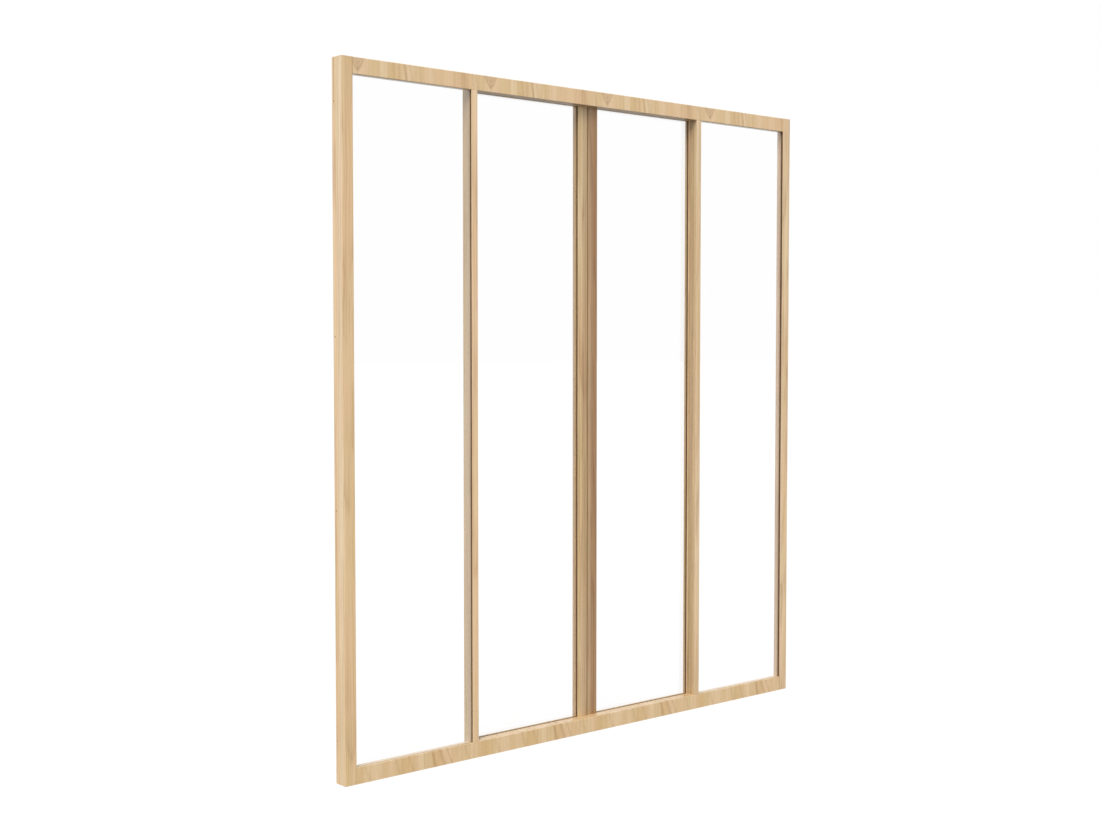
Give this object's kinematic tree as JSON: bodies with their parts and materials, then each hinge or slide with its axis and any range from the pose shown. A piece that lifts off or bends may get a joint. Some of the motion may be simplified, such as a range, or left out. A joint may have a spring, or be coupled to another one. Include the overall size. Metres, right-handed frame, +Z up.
{
  "type": "sliding glass partition",
  "caption": "Slim timber-framed glass partition: a fixed pane at each side and glazed leaves that slide apart behind them to open a central doorway.",
  "frame": {"origin": "middle of the part's width and depth, at the level of the sill's underside", "axes": "+Z up, -Y towards the front face seen in the picture, +X to the right seen from the front"},
  "size_m": [2.3, 0.07, 2.5],
  "materials": {
    "pale_ash": "clear matt oil on pale straight-grained ash",
    "clear_glass": "clear float glass with polished faces",
    "brown_seal": "matt dark brown extruded seal",
    "dark_rubber": "matt black rubber",
    "track_aluminium": "satin anodised extrusion",
    "zinc_steel": "zinc-plated pressed steel",
    "screw_steel": "zinc-plated steel with hexagon sockets",
    "nylon": "off-white nylon"
  },
  "bodies": {
    "fixed_frame": {"left_jamb": "pale_ash", "right_jamb": "pale_ash", "head": "pale_ash", "sill": "pale_ash", "left_mullion": "pale_ash", "right_mullion": "pale_ash", "left_jamb_lining": "pale_ash", "right_jamb_lining": "pale_ash", "head_lining": "pale_ash", "sill_lining": "pale_ash", "left_fixed_glass": "clear_glass", "right_fixed_glass": "clear_glass", "left_fixed_glass_seals": "brown_seal", "right_fixed_glass_seals": "brown_seal", "left_fixed_glazing_beads": "pale_ash", "right_fixed_glazing_beads": "pale_ash", "left_fixed_setting_blocks": "dark_rubber", "right_fixed_setting_blocks": "dark_rubber", "bottom_track": "track_aluminium", "top_guide_channel": "track_aluminium", "centre_stop": "nylon", "left_end_buffers": "dark_rubber", "right_end_buffers": "dark_rubber", "frame_dowels": "pale_ash", "mullion_screws": "screw_steel", "lining_screws": "screw_steel", "track_screws": "screw_steel", "channel_screws": "screw_steel"},
    "left_leaf": {"left_leaf_outer_stile": "pale_ash", "left_leaf_meeting_stile": "pale_ash", "left_leaf_top_rail": "pale_ash", "left_leaf_bottom_rail": "pale_ash", "left_leaf_glass": "clear_glass", "left_leaf_glass_seals": "brown_seal", "left_leaf_glazing_beads": "pale_ash", "left_leaf_setting_blocks": "dark_rubber", "left_leaf_meeting_seal": "brown_seal", "left_leaf_wheel_housings": "zinc_steel", "left_leaf_axles": "zinc_steel", "left_leaf_guide_shoes": "nylon", "left_leaf_corner_screws": "screw_steel", "left_leaf_fitting_screws": "screw_steel"},
    "left_leaf_meeting_wheel": {"left_leaf_meeting_wheel": "nylon"},
    "left_leaf_outer_wheel": {"left_leaf_outer_wheel": "nylon"},
    "right_leaf": {"right_leaf_outer_stile": "pale_ash", "right_leaf_meeting_stile": "pale_ash", "right_leaf_top_rail": "pale_ash", "right_leaf_bottom_rail": "pale_ash", "right_leaf_glass": "clear_glass", "right_leaf_glass_seals": "brown_seal", "right_leaf_glazing_beads": "pale_ash", "right_leaf_setting_blocks": "dark_rubber", "right_leaf_meeting_seal": "brown_seal", "right_leaf_wheel_housings": "zinc_steel", "right_leaf_axles": "zinc_steel", "right_leaf_guide_shoes": "nylon", "right_leaf_corner_screws": "screw_steel", "right_leaf_fitting_screws": "screw_steel"},
    "right_leaf_meeting_wheel": {"right_leaf_meeting_wheel": "nylon"},
    "right_leaf_outer_wheel": {"right_leaf_outer_wheel": "nylon"}
  },
  "joints": [
    {"name": "left_leaf_slide", "type": "slide", "parent": "fixed_frame", "child": "left_leaf", "axis": [-1, 0, 0], "range_m": [0, 0.52]},
    {"name": "left_leaf_meeting_wheel_spin", "type": "hinge", "parent": "left_leaf", "child": "left_leaf_meeting_wheel", "pos_m": [-0.12, 0.013, 0.0323], "axis": [0, -1, 0], "range_deg": [0, 3320]},
    {"name": "left_leaf_outer_wheel_spin", "type": "hinge", "parent": "left_leaf", "child": "left_leaf_outer_wheel", "pos_m": [-0.49, 0.013, 0.0323], "axis": [0, -1, 0], "range_deg": [0, 3320]},
    {"name": "right_leaf_slide", "type": "slide", "parent": "fixed_frame", "child": "right_leaf", "axis": [1, 0, 0], "range_m": [0, 0.52]},
    {"name": "right_leaf_meeting_wheel_spin", "type": "hinge", "parent": "right_leaf", "child": "right_leaf_meeting_wheel", "pos_m": [0.12, 0.013, 0.0323], "axis": [0, 1, 0], "range_deg": [0, 3320]},
    {"name": "right_leaf_outer_wheel_spin", "type": "hinge", "parent": "right_leaf", "child": "right_leaf_outer_wheel", "pos_m": [0.49, 0.013, 0.0323], "axis": [0, 1, 0], "range_deg": [0, 3320]}
  ],
  "couplings": [
    {"joint": "left_leaf_meeting_wheel_spin", "follows": "left_leaf_slide", "rad_per_m": 111.11},
    {"joint": "left_leaf_outer_wheel_spin", "follows": "left_leaf_slide", "rad_per_m": 111.11},
    {"joint": "right_leaf_meeting_wheel_spin", "follows": "right_leaf_slide", "rad_per_m": 111.11},
    {"joint": "right_leaf_outer_wheel_spin", "follows": "right_leaf_slide", "rad_per_m": 111.11}
  ]
}
